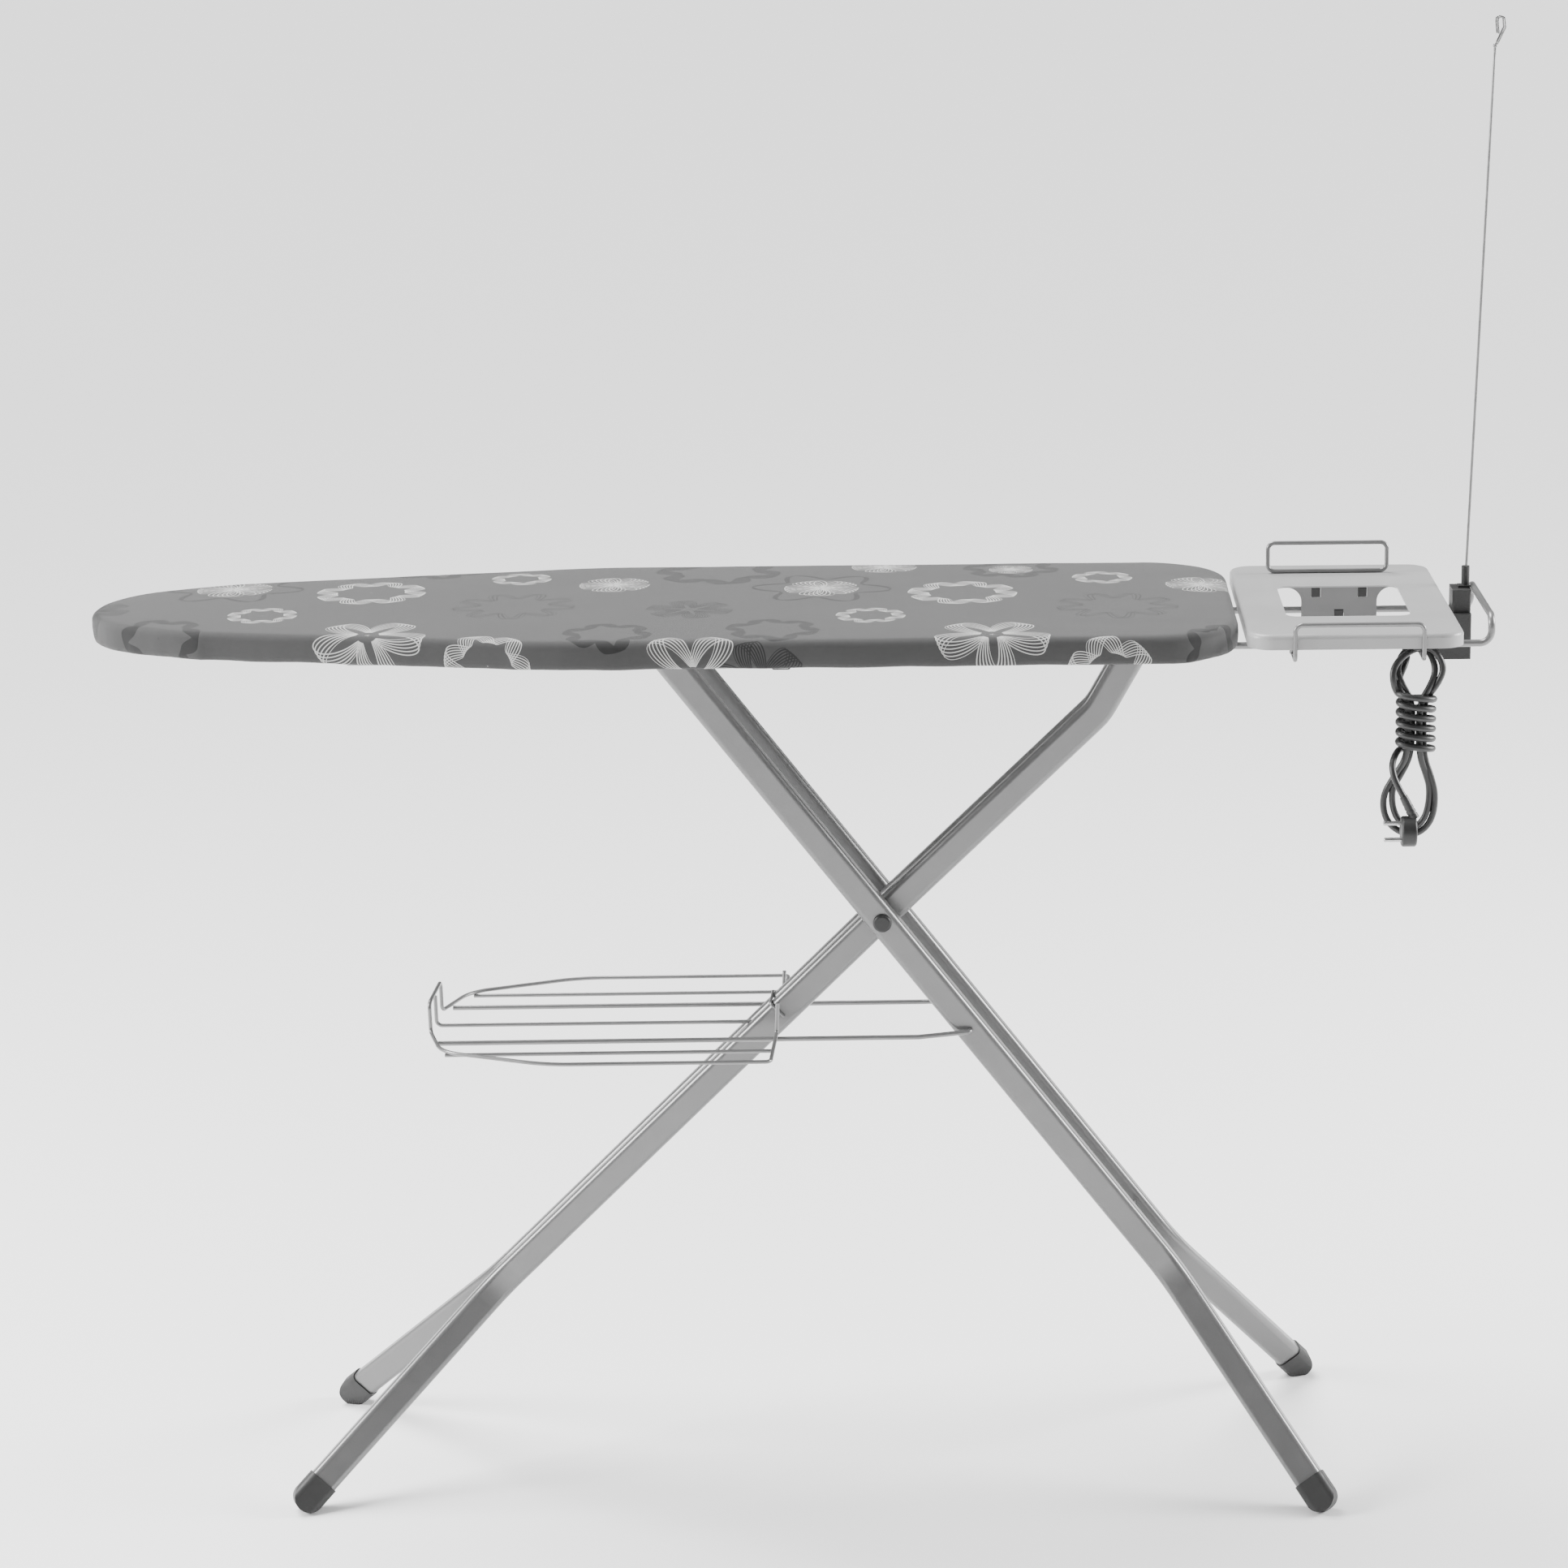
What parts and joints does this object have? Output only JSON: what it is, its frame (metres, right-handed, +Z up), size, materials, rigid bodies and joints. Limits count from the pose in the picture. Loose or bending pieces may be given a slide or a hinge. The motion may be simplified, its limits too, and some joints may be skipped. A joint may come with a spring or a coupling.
{
  "type": "ironing board",
  "caption": "Folding ironing board with padded cover, crossed tube legs, wire shelf, iron rest tray, mains socket with coiled cord and upright cable guide.",
  "frame": {"origin": "bottom centre of the bounding box on the floor, without the cord", "axes": "+X from the nose to the iron rest, +Y to the far long side, +Z up"},
  "size_m": [1.4208, 0.4132, 1.5023],
  "materials": {
    "cover_fabric": "woven cotton, printed",
    "felt": "needled felt",
    "plate_steel": "light grey paint",
    "leg_paint": "satin silver powder coat",
    "wire_paint": "satin silver paint on wire",
    "tray_paint": "white powder coat",
    "flap_paint": "light grey coat in shade",
    "cap_plastic": "moulded dark grey",
    "black_plastic": "moulded black",
    "nylon": "natural nylon",
    "steel": "zinc plated",
    "spring_steel": "polished sprung wire",
    "cord_rubber": "grey mains lead",
    "socket_plastic": "moulded anthracite"
  },
  "bodies": {
    "board": {"cover": "cover_fabric", "padding": "felt", "board_plate": "plate_steel", "board_rim": "plate_steel", "slide_rail_near": "plate_steel", "slide_rail_far": "plate_steel", "height_rack": "steel", "hinge_plates": "plate_steel", "hinge_pin": "steel", "hinge_washers": "nylon", "lever_bracket": "steel", "frame_rod": "wire_paint", "rod_clips": "plate_steel", "tray": "tray_paint", "tray_flap": "flap_paint", "flap_buffers": "black_plastic", "guard_far": "wire_paint", "guard_near": "wire_paint", "guard_studs": "wire_paint", "socket_housing": "socket_plastic", "outlet_insert": "black_plastic", "earth_pin": "steel", "socket_screws": "steel", "socket_strap": "steel", "cord_gland": "cord_rubber", "cord_lead": "cord_rubber", "cord_hank": "cord_rubber", "cord_plug_lead": "cord_rubber", "plug_strain_relief": "cord_rubber", "plug_body": "cord_rubber", "plug_pins": "steel", "guide_holder": "socket_plastic"},
    "cable_guide": {"guide_rod": "spring_steel", "guide_clip": "spring_steel"},
    "leg_b": {"leg_b_near": "leg_paint", "leg_b_far": "leg_paint", "leg_b_cap_near": "cap_plastic", "leg_b_cap_far": "cap_plastic", "leg_b_hinge_sleeve": "nylon", "leg_b_pivot_sleeve": "nylon", "leg_b_spacer": "nylon", "shelf_stirrup": "wire_paint"},
    "leg_a": {"leg_a_near": "leg_paint", "leg_a_far": "leg_paint", "leg_a_cap_near": "cap_plastic", "leg_a_cap_far": "cap_plastic", "pivot_pin": "steel", "pivot_washers": "nylon", "pivot_caps": "black_plastic", "slide_axle": "steel", "slide_bushes": "nylon", "parking_hook": "wire_paint"},
    "shelf": {"shelf_arm_near": "wire_paint", "shelf_arm_far": "wire_paint", "shelf_rim_near": "wire_paint", "shelf_rim_far": "wire_paint", "shelf_side_bars": "wire_paint", "shelf_bar_middle": "wire_paint"},
    "height_lever": {"lock_lever": "steel", "lever_grip": "black_plastic"}
  },
  "joints": [
    {"name": "leg_b_fold", "type": "hinge", "parent": "board", "child": "leg_b", "pos_m": [0.345, 0, 0.897], "axis": [0, 1, 0], "range_deg": [0, 40]},
    {"name": "leg_a_pivot", "type": "hinge", "parent": "leg_b", "child": "leg_a", "pos_m": [0.075, 0, 0.603], "axis": [0, 1, 0], "range_deg": [-85, 0]},
    {"name": "shelf_tilt", "type": "hinge", "parent": "leg_a", "child": "shelf", "pos_m": [0.16309, 0, 0.48657], "axis": [0, 1, 0], "range_deg": [0, 46.7]},
    {"name": "lever_turn", "type": "hinge", "parent": "board", "child": "height_lever", "pos_m": [-0.012, -0.07, 0.899], "axis": [1, 0, 0], "range_deg": [0, 10], "stiffness_Nm_per_rad": 0.4},
    {"name": "guide_turn", "type": "hinge", "parent": "board", "child": "cable_guide", "pos_m": [0.68, 0.064, 0.928], "axis": [0.0349, 0, 0.9994], "continuous": true}
  ],
  "couplings": [
    {"joint": "leg_a_pivot", "follows": "leg_b_fold", "ratio": -2.121},
    {"joint": "shelf_tilt", "follows": "leg_b_fold", "ratio": 1.1635}
  ]
}
